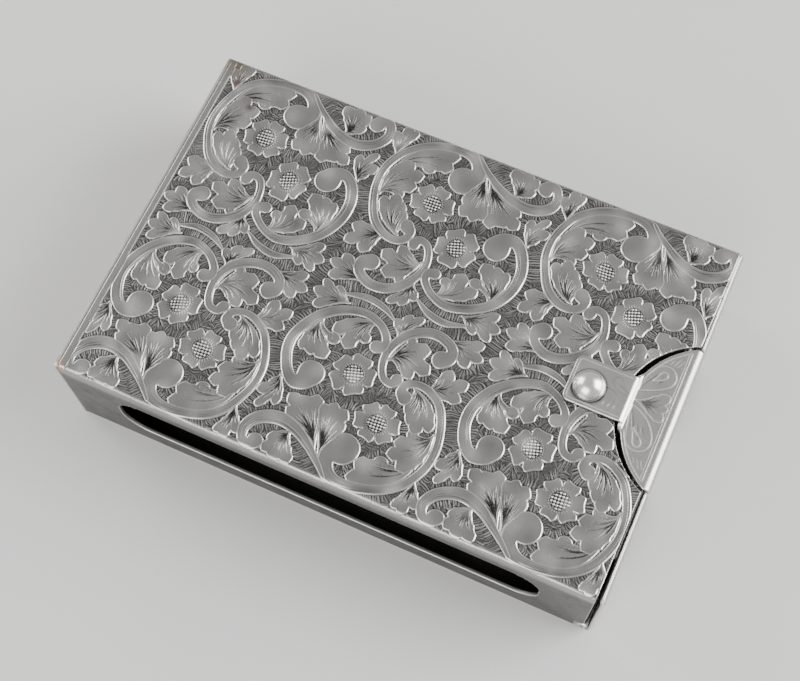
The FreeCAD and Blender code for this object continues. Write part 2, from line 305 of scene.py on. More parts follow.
TILE = 29.4
TILE_CENTRES = (-28.9, 0.5, 29.9)
ROW_CENTRE = 15.0


def tile_motifs():
    """Scrolls, leaves and flowers of one tile, lowest first, in millimetres from its centre."""
    return [
        # leaves between the tiles
        leaf((-12.4, 9.1), 100, [(-13.7, 12.5, 0.65), (-12.4, 14.2, 0.65), (-11.3, 13.9, 0.5)]),
        leaf((13.1, 2.3), 115, [(11.9, 6.2, 0.6), (14.1, 7.6, 0.5), (14.6, 5.4, 0.7), (13.7, 4.0, 0.55)]),
        leaf((-8.3, -4.7), 190, [(-12.7, -4.8, 0.8), (-12.9, -7.2, 0.8), (-10.5, -7.8, 0.8)]),
        leaf((-7.8, -13.2), 160, [(-11.8, -10.6, 0.7), (-13.2, -11.9, 0.65), (-12.5, -13.9, 0.7)]),
        leaf((-0.7, -10.5), 260, [(-2.9, -14.2, 0.55), (-1.2, -13.7, 0.7), (0.2, -12.6, 0.6)]),
        leaf((8.4, -12.6), 5, [(12.9, -10.6, 0.65), (13.6, -12.6, 0.7), (12.9, -14.3, 0.6), (10.6, -14.0, 0.6)]),
        scroll([(1.0, -12.8, 0.12), (3.4, -14.2, 0.45), (6.4, -14.7, 0.5), (9.4, -13.9, 0.2)], inner=1),
        # the small scroll in the middle
        leaf((-1.0, -6.6), 240, [(-4.6, -5.9, 0.8), (-6.6, -7.4, 0.9), (-5.3, -9.9, 0.95)], [(-3.2, -10.6, 0.7)]),
        scroll(
            [
                (-3.4, -4.2, 0.9), (-2.7, -3.2, 0.6), (-1.2, -3.6, 0.55), (-0.3, -5.6, 0.55),
                (-0.4, -8.2, 0.6), (-1.9, -11.0, 0.7), (-4.4, -12.7, 0.75), (-7.0, -13.0, 0.75),
                (-9.2, -11.9, 0.75), (-9.5, -10.3, 0.95), (-8.4, -9.7, 1.3),
            ],
            inner=-1,
        ),
        # the large scroll on the left
        leaf((-11.6, 6.6), 75, [(-4.0, 12.4, 1.0), (-4.2, 10.2, 1.0)], [(-6.5, 8.9, 0.95)]),
        leaf((-12.2, 1.6), 85, [(-9.8, 7.9, 1.0), (-7.8, 6.8, 0.9), (-8.3, 4.8, 1.0)], [(-9.2, 2.9, 0.8)]),
        leaf((-6.5, -3.9), 160, [(-10.9, 0.8, 0.7), (-9.2, 1.7, 0.85), (-8.0, 0.6, 0.8), (-7.2, -0.7, 0.8)]),
        scroll(
            [
                (-5.7, -2.0, 1.1), (-4.8, -2.7, 0.75), (-5.2, -4.1, 0.6), (-7.0, -4.8, 0.57),
                (-9.3, -4.2, 0.6), (-11.5, -2.2, 0.6), (-13.1, 2.0, 0.57), (-13.1, 6.2, 0.57),
                (-11.5, 10.1, 0.6), (-8.8, 12.6, 0.65), (-5.3, 13.8, 0.7), (-2.0, 14.0, 0.85),
                (0.1, 13.1, 1.0), (1.1, 11.4, 1.15), (0.7, 9.7, 1.5), (-0.7, 9.0, 2.3),
            ],
            inner=1,
        ),
        # the hanging leaves and the scroll at the top right
        leaf((3.4, 10.6), 300, [(6.0, 4.1, 0.9), (7.5, 5.0, 1.1), (9.4, 4.9, 0.85), (8.8, 6.8, 0.8)]),
        leaf((2.5, 11.4), 280, [(1.1, 6.2, 0.65), (1.6, 4.5, 0.9), (3.1, 4.1, 0.8), (4.3, 4.6, 0.65)]),
        leaf((7.6, 9.4), 60, [(6.6, 13.6, 0.8), (8.4, 13.8, 0.9), (9.9, 13.2, 0.8), (9.8, 11.4, 0.7)]),
        scroll(
            [
                (0.2, 14.1, 0.25), (2.0, 12.4, 0.4), (4.5, 10.5, 0.6), (7.1, 9.0, 0.8),
                (10.2, 8.4, 0.9), (13.0, 9.5, 0.85), (14.4, 11.6, 0.75), (14.0, 13.5, 0.7),
                (12.8, 14.1, 0.8), (12.0, 13.0, 1.2),
            ],
            inner=1,
        ),
        # the scroll on the right
        leaf((10.9, -9.2), 75, [(8.8, -3.6, 1.0), (10.4, -3.4, 0.8), (11.8, -3.5, 0.6)], [(8.0, -6.4, 0.9)]),
        leaf((2.9, -11.3), 15, [(5.8, -6.8, 0.95), (8.0, -8.3, 0.85)], [(3.8, -8.3, 0.8)]),
        scroll(
            [
                (8.8, 0.3, 2.0), (9.4, 1.7, 1.4), (11.0, 2.3, 0.95), (12.7, 0.9, 0.85),
                (13.8, -2.0, 0.8), (13.6, -5.2, 0.8), (12.0, -8.5, 0.8), (9.2, -10.9, 0.72),
                (5.7, -12.1, 0.65), (2.7, -11.3, 0.57), (0.8, -9.5, 0.57), (0.7, -8.1, 0.7),
                (1.7, -7.7, 0.95),
            ],
            inner=-1,
        ),
        flower((-3.6, 3.35), 3.45, 6, 0.3),
        flower((3.1, -2.1), 3.45, 5, 1.1),
    ]


def engraved_plate(width, height):
    """The plate's whole pattern: tiles in a row, and the same row half turned below it."""
    plate = Engraving((-width / 2, -height / 2), (width / 2, height / 2))
    motifs = tile_motifs()
    for half_turned in (True, False):
        for centre in TILE_CENTRES:
            at = (centre, -ROW_CENTRE if half_turned else ROW_CENTRE)
            for motif in motifs:
                plate.place(motif, at, half_turned)
    return plate


# ================================================================ sheets: bent, cut out and engraved


class Path:
    """The outer face's line in a cross-section: straight runs and bends, from a start and heading.

    A step is ("run", length) or ("bend", radius, degrees), positive degrees turning left. The
    metal lies to the right of the line if metal is -1, and to the left if it is 1.
    """

    def __init__(self, start, heading, metal, steps):
        self.metal = metal
        self.parts = []
        place, angle, done = np.array(start, float), math.radians(heading), 0.0
        for step in steps:
            if step[0] == "run":
                length, curve = step[1], 0.0
            else:
                length, curve = step[1] * abs(math.radians(step[2])), math.copysign(1 / step[1], step[2])
            self.parts.append((done, length, curve, place, angle))
            place = self.along_part(self.parts[-1], np.array([length]))[0][0]
            angle += curve * length
            done += length
        self.length = done

    @staticmethod
    def along_part(part, distance):
        """Points and headings at distances into one part."""
        _, _, curve, place, angle = part
        heading = angle + curve * distance
        if curve:
            across = (np.sin(heading) - math.sin(angle)) / curve
            up = (math.cos(angle) - np.cos(heading)) / curve
        else:
            across, up = distance * math.cos(angle), distance * math.sin(angle)
        return np.column_stack([place[0] + across, place[1] + up]), heading

    def at(self, distance):
        """Points of the outer face, and the directions out of the metal there."""
        points = np.zeros((len(distance), 2))
        heading = np.zeros(len(distance))
        for part in self.parts:
            here = distance >= part[0] - 1e-9
            points[here], heading[here] = self.along_part(part, distance[here] - part[0])
        outward = np.column_stack([np.sin(heading), -np.cos(heading)]) * self.metal
        return points, outward

    def bend_rows(self):
        """Distances of a few rows across each bend."""
        rows = []
        for start, length, curve, _, _ in self.parts:
            if curve:
                count = max(int(length * abs(curve) / 0.25), 2)
                rows.extend(start + length * (np.arange(count) + 0.5) / count)
        return rows

    def ticks(self, fine, coarse, fine_from, fine_to):
        """Distances for the grid's rows: fine over one stretch, coarse on the runs, close in bends."""
        marks = [0.0]
        for start, length, curve, _, _ in self.parts:
            stop = start + length
            inside = fine_from - 1e-6 <= start and stop <= fine_to + 1e-6
            step = fine if inside else min(coarse, 0.18 / abs(curve)) if curve else coarse
            marks.extend(np.linspace(start, stop, max(int(round(length / step)), 1) + 1)[1:])
        return np.array(marks)


def box_gap(u, v, low, high, radius=0.0):
    """Signed distance to a rectangle with rounded corners, negative inside."""
    middle, half = (np.array(low) + high) / 2, (np.array(high) - low) / 2 - radius
    du, dv = np.abs(u - middle[0]) - half[0], np.abs(v - middle[1]) - half[1]
    outside = np.hypot(np.maximum(du, 0), np.maximum(dv, 0))
    return outside + np.minimum(np.maximum(du, dv), 0) - radius


def disc_gap(u, v, centre, radius):
    return np.hypot(u - centre[0], v - centre[1]) - radius


def clipped_grid(u_ticks, v_ticks, outline):
    """The part of a grid where outline is negative: places, whole cells, cut cells, outline values.

    Places next to the outline are moved onto it, and cells that it crosses are cut along it.
    """
    u, v = (field.ravel().copy() for field in np.meshgrid(u_ticks, v_ticks, indexing="ij"))
    gap = outline(u, v)
    step_u = np.gradient(u_ticks).repeat(len(v_ticks))
    step_v = np.tile(np.gradient(v_ticks), len(u_ticks))
    near = np.abs(gap) < 0.4 * np.minimum(step_u, step_v)
    tiny = 1e-4
    for _ in range(3):
        here = outline(u[near], v[near])
        slope_u = (outline(u[near] + tiny, v[near]) - here) / tiny
        slope_v = (outline(u[near], v[near] + tiny) - here) / tiny
        steep = np.maximum(slope_u**2 + slope_v**2, 0.2)
        u[near] -= here * slope_u / steep
        v[near] -= here * slope_v / steep
    gap[near] = 0.0
    index = np.arange(len(u)).reshape(len(u_ticks), len(v_ticks))
    cells = np.stack([index[:-1, :-1], index[1:, :-1], index[1:, 1:], index[:-1, 1:]], -1).reshape(-1, 4)
    cells = cells[(gap[cells] < 0).any(axis=1)]
    whole = (gap[cells] <= 0).all(axis=1)
    cut_cells, extra_u, extra_v, crossings = [], [], [], {}
    for cell in cells[~whole].tolist():
        corners = []
        for a, b in zip(cell, cell[1:] + cell[:1]):
            if gap[a] <= 0:
                corners.append(a)
            if gap[a] * gap[b] < 0:
                key = (min(a, b), max(a, b))
                if key not in crossings:
                    share = gap[a] / (gap[a] - gap[b])
                    crossings[key] = len(u) + len(extra_u)
                    extra_u.append(u[a] + (u[b] - u[a]) * share)
                    extra_v.append(v[a] + (v[b] - v[a]) * share)
                corners.append(crossings[key])
        cut_cells.append(corners)
    u, v = np.append(u, extra_u), np.append(v, extra_v)
    gap = np.append(gap, np.zeros(len(extra_u)))
    used = np.zeros(len(u), bool)
    used[cells[whole]] = True
    for corners in cut_cells:
        used[corners] = True
    order = np.cumsum(used) - 1
    cut_cells = [order[corners].tolist() for corners in cut_cells]
    return u[used], v[used], order[cells[whole]], cut_cells, gap[used]


def rims(cells, cut_cells, count):
    """Closed loops of places round the sheet's edges, each in the faces' own direction."""
    sides = np.stack([cells, np.roll(cells, -1, axis=1)], axis=2).reshape(-1, 2)
    cut_sides = [side for cell in cut_cells for side in zip(cell, cell[1:] + cell[:1])]
    if cut_sides:
        sides = np.vstack([sides, cut_sides])
    single = ~np.isin(sides[:, 0] * count + sides[:, 1], sides[:, 1] * count + sides[:, 0])
    following = dict(sides[single].tolist())
    loops = []
    while following:
        start, here = following.popitem()
        loop = [start]
        while here != start:
            loop.append(here)
            here = following.pop(here)
        loops.append(np.array(loop))
    return loops


def inner_triangles(u, v, loops, rows, outline):
    """Triangles over the inner face: its rims, and rows of extra places across each bend."""
    rim = np.concatenate(loops)
    rim_u, rim_v = u[rim], v[rim]
    extra_v = np.arange(rim_v.min() + 0.7, rim_v.max(), 1.4)
    extra = np.array([(a, b) for a in rows for b in extra_v]).reshape(-1, 2)
    if len(extra):
        extra = extra[outline(extra[:, 0], extra[:, 1]) < -0.3]
    places = [Vector(place) for place in np.vstack([np.column_stack([rim_u, rim_v]), extra]).tolist()]
    edges, start = [], 0
    for loop in loops:
        ring = list(range(start, start + len(loop)))
        edges.extend(zip(ring, ring[1:] + ring[:1]))
        start += len(loop)
    found = delaunay_2d_cdt(places, edges, [], 1, 1e-7)
    if len(found[0]) != len(places):
        raise ValueError("the inner face's places ran together")
    triangles = np.array(found[2])
    flat = np.array(places)
    middle = flat[triangles].mean(axis=1)
    return flat, triangles[outline(middle[:, 0], middle[:, 1]) < 0]


ROUNDING = 0.13


def bent_sheet(name, path, thickness, u_ticks, v_ticks, outline, engrave, place, inner_dark=0.8):
    """Closed mesh of a cut and bent sheet, with the engraver's marks and the painted highlight and shade kept as mesh
    attributes.

    place(points, v) gives 3-D places from points of the cross-section. engrave(u, v) gives the
    height of the outer face, the darkness (oxidised hollows and painted shade) and the gleam (painted highlight) that
    the materials read.
    """
    u, v, cells, cut_cells, gap = clipped_grid(u_ticks, v_ticks, outline)
    height, dark, gleam = engrave(u, v)
    edge = np.clip(ROUNDING + gap, 0, ROUNDING)
    height = height - (ROUNDING - np.sqrt(ROUNDING**2 - edge**2))
    # painted highlight along the sheet's rounded rims
    gleam = np.maximum(gleam, 0.8 * edge / ROUNDING)
    points, outward = path.at(u)
    outer = place(points + outward * height[:, None], v)

    loops = rims(cells, cut_cells, len(u))
    rows = path.bend_rows()
    flat, triangles = inner_triangles(u, v, loops, rows, outline)
    points, outward = path.at(flat[:, 0])
    inner = place(points - outward * thickness, flat[:, 1])
    places = np.vstack([outer, inner])

    walls, start = [], len(outer)
    for loop in loops:
        ring = np.arange(start, start + len(loop))
        walls.append(np.column_stack([np.roll(loop, -1), loop, ring, np.roll(ring, -1)]))
        start += len(loop)
    groups = [cells, np.vstack(walls), triangles[:, ::-1] + len(outer)]
    faces = groups[0].tolist() + cut_cells + groups[1].tolist() + groups[2].tolist()
    smooth = np.ones(len(faces), bool)
    first_wall = len(cells) + len(cut_cells)
    smooth[first_wall:first_wall + len(groups[1])] = False
    if enclosed_volume(places, groups[0]) + enclosed_volume(places, groups[2]) < 0:
        faces = [face[::-1] for face in faces]
    extra = np.zeros(len(inner))
    marks = {"dark": np.append(dark, extra + inner_dark), "gleam": np.append(gleam, extra)}
    return new_mesh(name, places * MM, faces, smooth, marks)


def enclosed_volume(places, faces):
    """Signed volume between faces and the middle of all the places (times six)."""
    a, b, c = (places[faces[:, i]] - places.mean(axis=0) for i in (0, 1, 2))
    volume = np.einsum("ij,ij->i", a, np.cross(b, c)).sum()
    if faces.shape[1] == 4:
        d = places[faces[:, 3]] - places.mean(axis=0)
        volume += np.einsum("ij,ij->i", a, np.cross(c, d)).sum()
    return volume


def new_mesh(name, places, faces, smooth, marks):
    """An object from places in metres, with a float attribute for each of the marks."""
    mesh = bpy.data.meshes.new(name)
    mesh.from_pydata(places.tolist(), [], faces)
    mesh.polygons.foreach_set("use_smooth", smooth)
    for mark, values in marks.items():
        mesh.attributes.new(mark, "FLOAT", "POINT").data.foreach_set("value", values.astype(np.float32))
    mesh.update()
    thing = bpy.data.objects.new(name, mesh)
    bpy.context.scene.collection.objects.link(thing)
    return thing


# ================================================================ marks: what the engraver and wear left, and painted highlight and shade


def drift(x, y, size, seed):
    """Smooth random field of about -1 to 1 that varies over the given size."""
    rng = np.random.default_rng(seed)
    total = 0.0
    for turn, pace, phase in rng.uniform((0, 0.6, 0), (2 * math.pi, 1.6, 2 * math.pi), (7, 3)):
        wave = 2 * math.pi * pace / size
        total = total + np.sin(wave * (x * math.cos(turn) + y * math.sin(turn)) + phase)
    return total / 3.5


RECESS = 0.15


def blur(field, reach):
    """Mean over a square of 2 * reach + 1 pixels, twice."""
    for _ in range(2):
        for axis in (0, 1):
            padded = np.concatenate([np.take(field, [0] * (reach + 1), axis), field, np.take(field, [-1] * reach, axis)], axis)
            total = np.cumsum(padded, axis)
            count = field.shape[axis]
            upper = np.take(total, np.arange(count) + 2 * reach + 1, axis)
            field = (upper - np.take(total, np.arange(count), axis)) / (2 * reach + 1)
    return field


def strokes(plate, seed):
    """Raster of fine straight strokes that run away from the nearest outline, about -1 to 1."""
    up, across = np.gradient(np.where(plate.inside, -plate.edge, plate.edge))
    turn = 0.5 * np.arctan2(blur(2 * across * up, STROKE_BLEND), blur(across**2 - up**2, STROKE_BLEND))
    ahead_x, ahead_y = np.cos(turn), np.sin(turn)
    rows, columns = np.indices(turn.shape)
    field = np.random.default_rng(seed).standard_normal(turn.shape)
    for _ in range(2):
        field = blur(field, 1) - blur(field, STROKE_PITCH)
        total = field.copy()
        for step in range(-STROKE_HALF, STROKE_HALF + 1, 2):
            r = np.clip(rows + np.rint(step * ahead_y).astype(int), 0, turn.shape[0] - 1)
            c = np.clip(columns + np.rint(step * ahead_x).astype(int), 0, turn.shape[1] - 1)
            total += field[r, c]
        field = total
    return np.clip(0.8 * field / field.std(), -1, 1)


STROKE_BLEND, STROKE_PITCH, STROKE_HALF = 10, 2, 18


def plate_marks(plate):
    """Rasters of an engraving: height in millimetres, darkness and gleam.

    Darkness is the oxidised hollows plus painted shade, and gleam is painted highlight: outlines that lie across the
    light's direction get the strongest painted highlight and a painted dark line just inside, and each cut gets a
    painted highlight on one side.
    """
    height, width = plate.away.shape
    x = plate.low[0] + np.arange(width)[None, :] / PER_MM
    y = plate.low[1] + np.arange(height)[:, None] / PER_MM
    outside = ~plate.inside
    patchy = np.clip(0.8 + 0.5 * drift(x, y, 4.0, 5), 0.2, 1.0)
    sunk = fade(plate.away, 0.0, 0.2) * outside
    shade = fade(plate.away, 0.05, 0.15) * outside
    hatch = strokes(plate, 3) * patchy * fade(plate.away, 0.08, 0.25) * outside
    # how squarely each outline lies across the light, which sets the painted highlight and shade below
    facing = facing_light(np.where(plate.inside, -plate.edge, plate.edge))
    # lip: painted highlight along the outlines, strongest where they lie across the light
    lip = np.clip(1.4 * stroke(plate.edge - 0.01, 0.09), 0, 1) * (0.25 + 0.75 * facing)
    ditch = stroke(plate.away - 0.16, 0.14) * outside
    cut = np.clip(plate.cut, 0, 1) * plate.inside
    dots = np.clip(-plate.cut, 0, 1) * plate.inside
    # painted highlight on one side of each cut
    one_sided_lighting = np.clip(np.roll(cut, (1, 3), (0, 1)) - cut, 0, 1) * plate.inside
    # painted shade: a dark line just inside the outlines, strongest where they lie across the light
    inner = stroke(plate.edge - 0.2, 0.08) * plate.inside * facing
    waves = 0.03 * drift(x, y, 4.0, 9) * plate.inside
    rub = drift(x, y, 5.0, 21) * plate.inside
    relief = waves - RECESS * sunk + 0.03 * hatch - 0.05 * ditch - 0.09 * cut + 0.03 * dots
    film = 0.3 * np.maximum(rub, 0)
    bright = 0.25 * np.maximum(-rub, 0)
    dark = np.clip(0.8 * shade - 0.5 * hatch + 0.8 * ditch + cut + 0.6 * inner + film, 0, 1)
    # gleam is painted highlight: the outline lips, hatch crests, one side of the cuts and the raised dots, with pale
    # random patches from rub
    gleam = np.clip(lip + 0.3 * np.maximum(hatch, 0) + 0.35 * one_sided_lighting + dots + bright, 0, 1)
    return relief, dark * (1 - 0.8 * lip), gleam


# direction across the plate that the painted highlight and shade take the light to come from, in line with the
# right-hand soft box
LIGHT_ACROSS = (0.91, 0.41)


def facing_light(distance):
    """How squarely the outlines of a distance raster lie across the light's direction, 0 to 1."""
    up, across = np.gradient(distance, 1 / PER_MM)
    return np.clip(np.abs(across * LIGHT_ACROSS[0] + up * LIGHT_ACROSS[1]), 0, 1) ** 1.5


def flap_motifs():
    """Scrolls and leaves of the flap and tab, x running back from the bend in millimetres."""
    return [
        scroll([(5.8, -0.4, 0.1), (5.0, -1.5, 0.85), (4.0, -3.0, 1.6), (3.4, -4.4, 1.95), (3.2, -5.0, 1.95)], inner=1),
        scroll([(5.8, 2.4, 0.1), (4.9, 3.6, 0.9), (3.9, 4.7, 1.5), (3.1, 5.6, 1.8), (3.0, 5.7, 1.8)], inner=-1),
        leaf((5.8, 0.6), 180, [(1.7, 2.4, 0.7), (1.4, 0.8, 0.55), (1.7, -0.7, 0.7)]),
        scroll([(7.5, 0.5, 0.05), (8.4, 0.9, 0.35), (9.2, 1.6, 0.6), (9.4, 1.9, 0.6)], inner=1),
        scroll([(4.5, -3.6, 0.05), (3.9, -4.6, 0.35), (3.3, -5.5, 0.6), (3.2, -5.7, 0.6)], inner=-1),
        scroll([(4.4, 4.6, 0.05), (3.8, 5.1, 0.3), (3.2, 5.8, 0.55), (3.1, 5.9, 0.55)], inner=1),
    ]


def flap_marks():
    """Rasters of the lighter line engraving on the flap and tab, with painted highlight on its outlines, lines and
    step, and painted shade on one side of each cut and line.
    """
    plate = Engraving((-3, -12.5), (17.5, 12.5))
    for motif in flap_motifs():
        plate.place(motif, (0, 0))
    height, width = plate.away.shape
    x = plate.low[0] + np.arange(width)[None, :] / PER_MM
    y = plate.low[1] + np.arange(height)[:, None] / PER_MM
    x, y = np.broadcast_arrays(x, y)
    arc_gap = disc_gap(AXIS_X - x, y, (FLAP_CENTRE, 0), FLAP_RADIUS)
    beside_tab = fade(np.abs(y), TAB_HALF - 0.3, TAB_HALF)
    border = stroke(arc_gap + 0.6, 0.14) * fade(x, 0.5, 0.6) * (1 - fade(x, 5.5, 5.9)) * beside_tab
    bend_lines = np.maximum(stroke(x - 0.4, 0.12), 0.8 * stroke(x - 0.8, 0.1)) * (arc_gap < -0.6)
    tip = AXIS_X - STEP_FOOT + STEP_HEAD - DOOR_LOW[0] + 1.47
    frame_line = stroke(box_gap(x, y, (5.9, -TAB_HALF), (tip, TAB_HALF), TAB_CORNER) + 0.55, 0.14)
    frame_line *= fade(x, 7.2, 7.5)
    stud = (tip - (STUD_X - DOOR_LOW[0]), STUD_Y)
    ring = stroke(disc_gap(x, y, stud, 2.62), 0.2)
    shadow = stroke(disc_gap(x, y, (stud[0], stud[1] - 0.35), 2.6), 0.35) * (y < stud[1] - 0.6)
    dashes = stroke(np.mod((x + 0.25 * y) / 0.85, 1) - 0.5, 0.18) * stroke(y + 2.1, 0.55)
    dashes *= fade(x, 7.9, 8.2) * (1 - fade(x, 10.6, 10.8))
    tail = stroke(np.hypot(x - 10.4, y + 2.2) - 2.6, 0.12) * (y > -0.9) * (y < 0.5) * (x > 8.9)
    below = stroke(np.mod((x + 0.5 * np.abs(y)) / 0.6, 1) - 0.5, 0.2) * fade(np.abs(y), 7.8, 8.1)
    below *= (1 - fade(np.abs(y), 9.2, 9.6)) * (arc_gap < -1.0) * (x > 1.0)
    lines = np.maximum.reduce([border, bend_lines, frame_line, dashes, 0.8 * below])
    outlines = np.clip(1.3 * stroke(plate.edge - 0.02, 0.11), 0, 1) * (arc_gap < -0.7)
    cuts = plate.cut * plate.inside
    cuts = np.clip(cuts, 0, 1)
    # painted shade on one side of each cut and line
    one_sided_lighting = np.clip(np.roll(cuts + lines, (1, 3), (0, 1)) - cuts - lines, 0, 1)
    relief = -0.06 * np.maximum.reduce([lines, 0.8 * outlines, cuts, ring])
    beside = stroke(plate.away - 0.15, 0.12) * (plate.away > 0) + stroke(frame_line - 0.2, 0.2)
    dark = np.clip(0.5 * beside + 0.8 * cuts + 0.4 * one_sided_lighting + ring + 0.7 * shadow + 0.6 * tail, 0, 1)
    # painted highlight on the step up to the tab
    step = fade(x, 5.95, 6.3) * (1 - fade(x, 6.9, 7.4))
    # gleam: painted highlight on the outlines, the lines and the step
    gleam = np.maximum.reduce([0.85 * outlines, 0.9 * lines, 0.6 * step])
    return relief, dark * (1 - 0.7 * gleam), gleam


def sample(raster, low, x, y):
    """The raster's value at places of the plate, between its pixels."""
    column = np.clip((x - low[0]) * PER_MM, 0, raster.shape[1] - 1.001)
    row = np.clip((y - low[1]) * PER_MM, 0, raster.shape[0] - 1.001)
    c, r = column.astype(int), row.astype(int)
    fc, fr = column - c, row - r
    upper = raster[r, c] * (1 - fc) + raster[r, c + 1] * fc
    lower = raster[r + 1, c] * (1 - fc) + raster[r + 1, c + 1] * fc
    return upper * (1 - fr) + lower * fr


def by_hand(x, y):
    """Places moved a little, so that no two repeats of the tile are quite alike."""
    return x + 0.22 * drift(x, y, 14, 11), y + 0.22 * drift(x, y, 14, 12)


# ================================================================ pieces

SHELL_LOW, SHELL_HIGH = node_box("case_shell")
BASE_LOW, BASE_HIGH = node_box("base_plate")
WALL_LOW, WALL_HIGH = node_box("end_wall")
DOOR_LOW, DOOR_HIGH = node_box("door_leaf")
STUD_LOW, STUD_HIGH = node_box("snap_stud")

SHEET = DOOR_LOW[2] + 0.6
BEND = 1.0
BARREL = 1.25
BORE = 0.65
GAP_WIDE, GAP_NARROW = 0.85, 0.1
HALF_WIDTH = SHELL_HIGH[1]
TOP = SHELL_HIGH[2]
DOOR_FACE = DOOR_HIGH[0]
AXIS_X = DOOR_FACE - BARREL
HINGE_BACK, HINGE_TOP = 42.2, 2.8
FLAP_RADIUS, FLAP_CENTRE, NOTCH_CENTRE = 13.6, 50.3, 49.4
FLAP_HALF = math.sqrt(FLAP_RADIUS**2 - (FLAP_CENTRE - AXIS_X) ** 2)
TAB_HALF, TAB_CORNER = 3.85, 1.1
STEP_FOOT, STEP_HEAD, STEP_BEND = 37.8, 36.62, 0.35
STUD_X, STUD_Y = (STUD_LOW[:2] + STUD_HIGH[:2]) / 2
ROLL = 298


def in_yz(points, v):
    return np.column_stack([v, points])


def in_xz(points, v):
    return np.column_stack([points[:, 0], v, points[:, 1]])


def even(start, stop, step):
    return np.linspace(start, stop, max(int(round((stop - start) / step)), 1) + 1)


def unmarked(u, v):
    plain = np.zeros(len(u))
    return plain, plain, plain


def case_shell(marks, low):
    """Top plate and both long walls. u runs up the near wall, across the top and down the far one."""
    wall = TOP - BEND
    across = 2 * (HALF_WIDTH - BEND)
    steps = [("run", wall), ("bend", BEND, -90), ("run", across), ("bend", BEND, -90), ("run", wall)]
    path = Path((-HALF_WIDTH, 0), 90, -1, steps)
    middle = path.length / 2
    window = (35.5, 5.0, 16.0, 4.5)

    def outline(u, v):
        y = np.clip(u - middle, -HALF_WIDTH, HALF_WIDTH)
        z = np.minimum(u, path.length - u)
        door_edge = SHELL_HIGH[0] - (GAP_WIDE - GAP_NARROW) * (0.5 - y / (2 * HALF_WIDTH))
        plate = np.maximum(np.maximum(v - door_edge, SHELL_LOW[0] - v), -z)
        notch = disc_gap(v, u - middle, (NOTCH_CENTRE, 0), FLAP_RADIUS)
        socket = disc_gap(v, u - middle, (STUD_X, STUD_Y), 1.2)
        long, bottom, top, corner = window
        opening = box_gap(v, z, (-long, bottom), (long, top), corner)
        hinge = box_gap(v, z, (HINGE_BACK, -9), (60, HINGE_TOP))
        return np.maximum.reduce([plate, -notch, -socket, -opening, -hinge])

    def engrave(u, v):
        y = u - middle
        kept = 1 - fade(np.abs(y) + 0.25 * drift(v, y, 9, 8), 29.0, 30.1)
        kept *= fade(v - SHELL_LOW[0], 1.0, 1.3)
        relief, dark, gleam = (sample(mark, low, *by_hand(v, y)) * kept for mark in marks)
        on_top = 1 - fade(np.abs(y), 29.3, 30.3)
        line = stroke(v - SHELL_LOW[0] - 1.1, 0.16) * on_top
        # painted dark reflection: the long walls darkened as if they mirrored dark surroundings
        painted_wall_reflection = 0.75 * fade(np.abs(y), 30.6, 33.0)
        return relief - 0.08 * line, np.maximum.reduce([dark, 0.7 * line, painted_wall_reflection]), gleam

    fine_to = path.length - wall
    u_ticks = path.ticks(FINE, 0.4, wall, fine_to)
    v_ticks = even(SHELL_LOW[0], SHELL_HIGH[0], FINE)
    return bent_sheet("visual_case_shell", path, 0.6, u_ticks, v_ticks, outline, engrave, in_yz)


def base_plate(marks, low):
    """Underside, with two knuckles rolled up from its door edge. u runs towards the door."""
    path = Path((BASE_LOW[0], 0), 0, 1, [("run", AXIS_X - BASE_LOW[0]), ("bend", BARREL, ROLL)])
    half = BASE_HIGH[1]

    def outline(u, v):
        plate = box_gap(u, v, (0, -half), (HINGE_BACK - BASE_LOW[0], half))
        tongues = box_gap(u, np.abs(v), (5, 6.075), (path.length, 17.925))
        return np.minimum(plate, tongues)

    def engrave(u, v):
        x = u + BASE_LOW[0]
        kept = (1 - fade(np.abs(v), 28.4, 28.9)) * fade(u, 1.0, 1.4) * (1 - fade(x, 40.6, 41.2))
        relief, dark, gleam = (sample(mark, low, *by_hand(x, v)) * kept for mark in marks)
        line = np.maximum(stroke(np.abs(v) - 28.6, 0.15) * (u < 85), stroke(u - 1.1, 0.15))
        # darker towards the hinge
        darker_to_hinge = 0.85 * fade(x, HINGE_BACK, AXIS_X)
        return np.minimum(relief, 0) - 0.08 * line, np.maximum.reduce([dark, 0.6 * line, darker_to_hinge]), gleam

    u_ticks = path.ticks(1.5 * FINE, 0.4, 0, AXIS_X - BASE_LOW[0])
    v_ticks = even(-half, half, 1.5 * FINE)
    return bent_sheet("visual_base_plate", path, 0.6, u_ticks, v_ticks, outline, engrave, in_xz)


def end_wall():
    """Plate across the end away from the door, with its top corners rounded like the bends."""
    path = Path((WALL_LOW[0], 0), 90, -1, [("run", WALL_HIGH[2])])
    half = WALL_HIGH[1]

    def outline(u, v):
        return np.maximum(box_gap(u, v, (-9, -half), (WALL_HIGH[2], half), BEND), -u)

    u_ticks = path.ticks(0.25, 0.25, 0, path.length)
    return bent_sheet("visual_end_wall", path, 0.7, u_ticks, even(-half, half, 0.25), outline, unmarked, in_xz)


